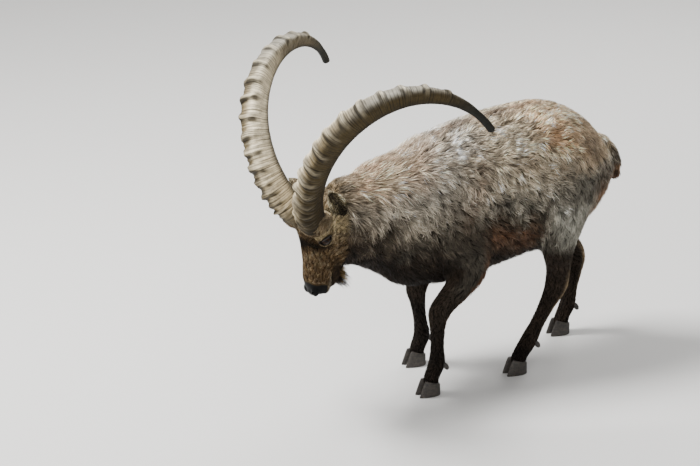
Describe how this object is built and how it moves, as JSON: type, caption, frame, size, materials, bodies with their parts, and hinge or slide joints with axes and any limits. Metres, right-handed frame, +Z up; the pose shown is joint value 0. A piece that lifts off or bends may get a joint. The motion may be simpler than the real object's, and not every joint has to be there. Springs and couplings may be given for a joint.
{
  "type": "alpine ibex",
  "caption": "Still life-size model of an adult male alpine ibex that stands with its head bowed and its long knobbed horns swept up and back",
  "frame": {"origin": "the middle of the bounding box, on the floor under the claws", "axes": "+Z is up; the animal faces -X; its left side is towards -Y"},
  "size_m": [1.3478, 0.8504, 1.1488],
  "materials": {
    "claw_front_left_inner": "dark dull horn",
    "claw_front_left_outer": "dark dull horn",
    "claw_front_right_inner": "dark dull horn",
    "claw_front_right_outer": "dark dull horn",
    "claw_rear_left_inner": "dark dull horn",
    "claw_rear_left_outer": "dark dull horn",
    "claw_rear_right_inner": "dark dull horn",
    "claw_rear_right_outer": "dark dull horn",
    "ear_left": "short dense fur",
    "ear_right": "short dense fur",
    "eye_left": "wet dark eye",
    "eye_right": "wet dark eye",
    "head": "short dense fur",
    "horn_left": "dry ridged horn",
    "horn_right": "dry ridged horn",
    "leg_front_left_lower": "short dense fur",
    "leg_front_left_upper": "short dense fur",
    "leg_front_right_lower": "short dense fur",
    "leg_front_right_upper": "short dense fur",
    "leg_rear_left_lower": "short dense fur",
    "leg_rear_left_upper": "short dense fur",
    "leg_rear_right_lower": "short dense fur",
    "leg_rear_right_upper": "short dense fur",
    "neck": "long shaggy winter fur",
    "tail": "short dense fur",
    "torso": "long shaggy winter fur"
  },
  "bodies": {
    "root": {"claw_front_left_inner": "claw_front_left_inner", "claw_front_left_outer": "claw_front_left_outer", "claw_front_right_inner": "claw_front_right_inner", "claw_front_right_outer": "claw_front_right_outer", "claw_rear_left_inner": "claw_rear_left_inner", "claw_rear_left_outer": "claw_rear_left_outer", "claw_rear_right_inner": "claw_rear_right_inner", "claw_rear_right_outer": "claw_rear_right_outer", "ear_left": "ear_left", "ear_right": "ear_right", "eye_left": "eye_left", "eye_right": "eye_right", "head": "head", "horn_left": "horn_left", "horn_right": "horn_right", "leg_front_left_lower": "leg_front_left_lower", "leg_front_left_upper": "leg_front_left_upper", "leg_front_right_lower": "leg_front_right_lower", "leg_front_right_upper": "leg_front_right_upper", "leg_rear_left_lower": "leg_rear_left_lower", "leg_rear_left_upper": "leg_rear_left_upper", "leg_rear_right_lower": "leg_rear_right_lower", "leg_rear_right_upper": "leg_rear_right_upper", "neck": "neck", "tail": "tail", "torso": "torso"}
  },
  "joints": []
}
